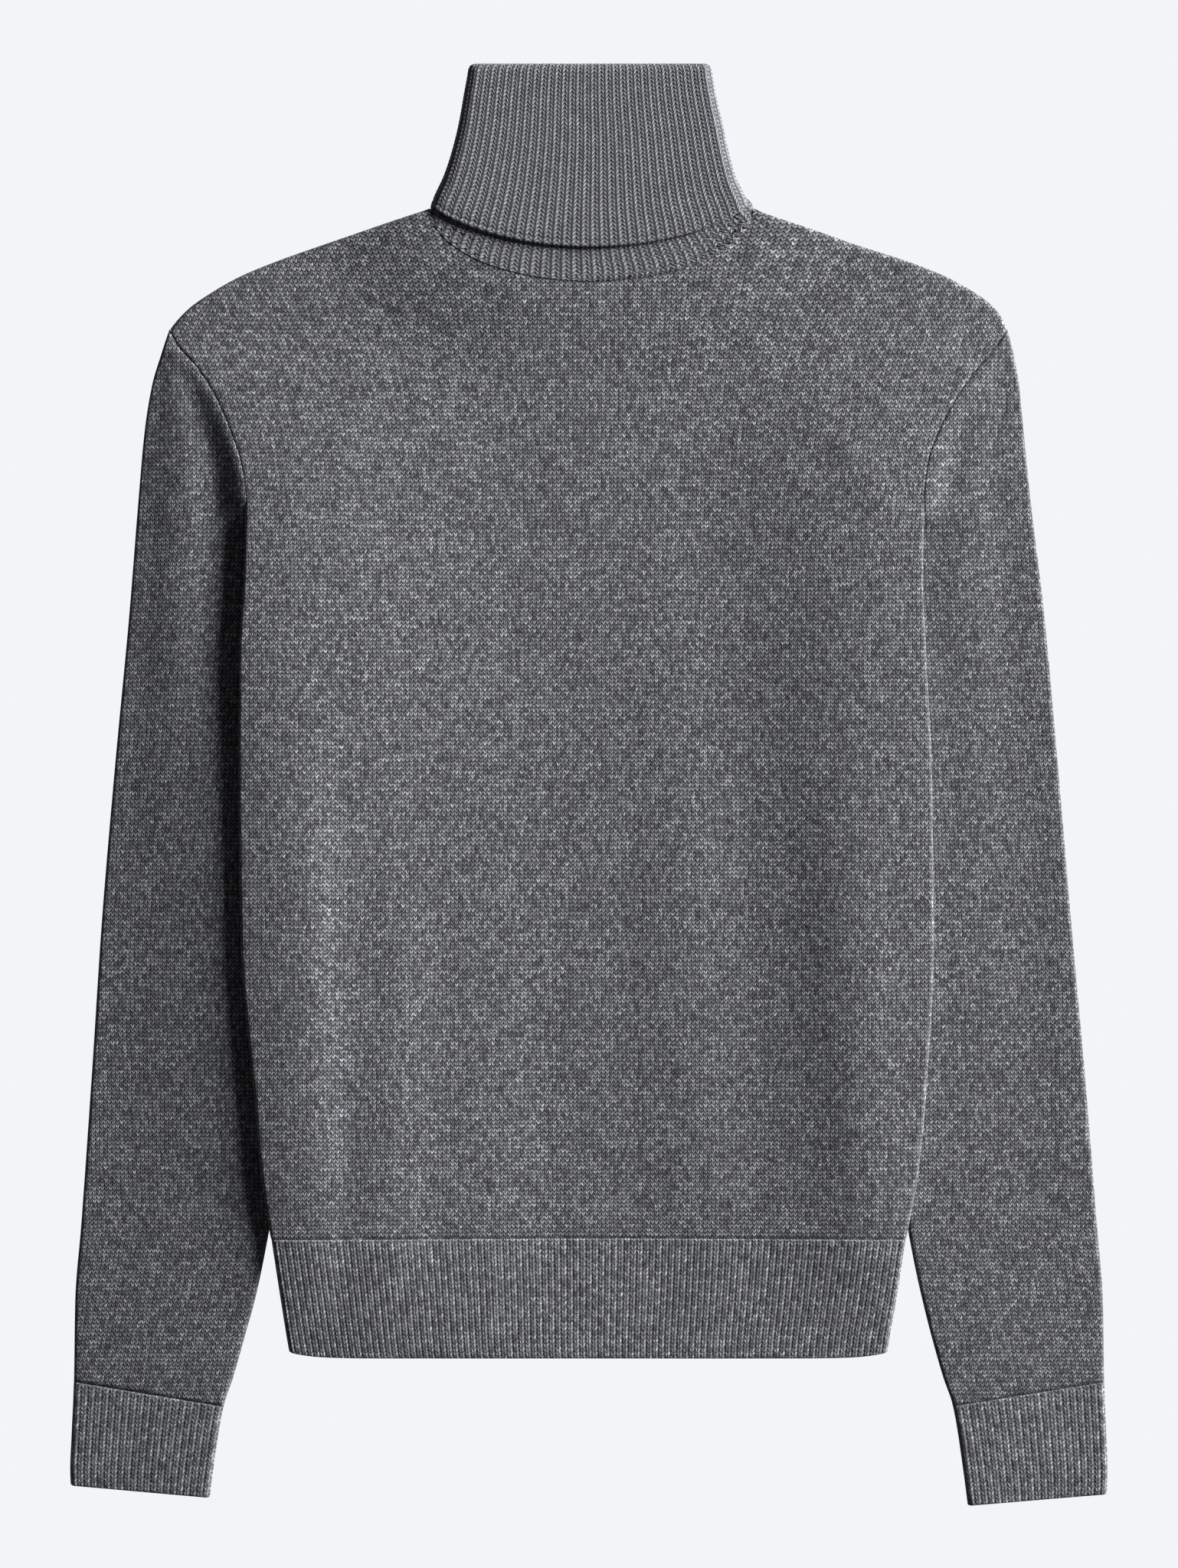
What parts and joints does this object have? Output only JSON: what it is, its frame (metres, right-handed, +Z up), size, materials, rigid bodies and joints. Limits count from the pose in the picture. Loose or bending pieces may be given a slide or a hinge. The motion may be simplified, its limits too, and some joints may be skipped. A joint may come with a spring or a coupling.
{
  "type": "turtleneck sweater",
  "caption": "Long-sleeved pullover laid flat on its back, with a turned-down ribbed collar, set-in sleeves, ribbed cuffs and a ribbed hem.",
  "frame": {"origin": "centre of the garment's outline, on the surface that it lies on", "axes": "+X to the viewer's right, +Y from the hem to the neck, +Z up, out of the front"},
  "size_m": [0.598, 0.8316, 0.0168],
  "materials": {
    "plain_knit": "matt heathered grey wool, fine plain knit",
    "ribbed_knit": "matt heathered grey wool, one-by-one rib"
  },
  "bodies": {
    "root": {"body_front": "plain_knit", "body_back": "plain_knit", "sleeve_left": "plain_knit", "sleeve_right": "plain_knit", "cuff_left": "ribbed_knit", "cuff_right": "ribbed_knit", "hem_rib_front": "ribbed_knit", "hem_rib_back": "ribbed_knit", "collar": "ribbed_knit"}
  },
  "joints": []
}
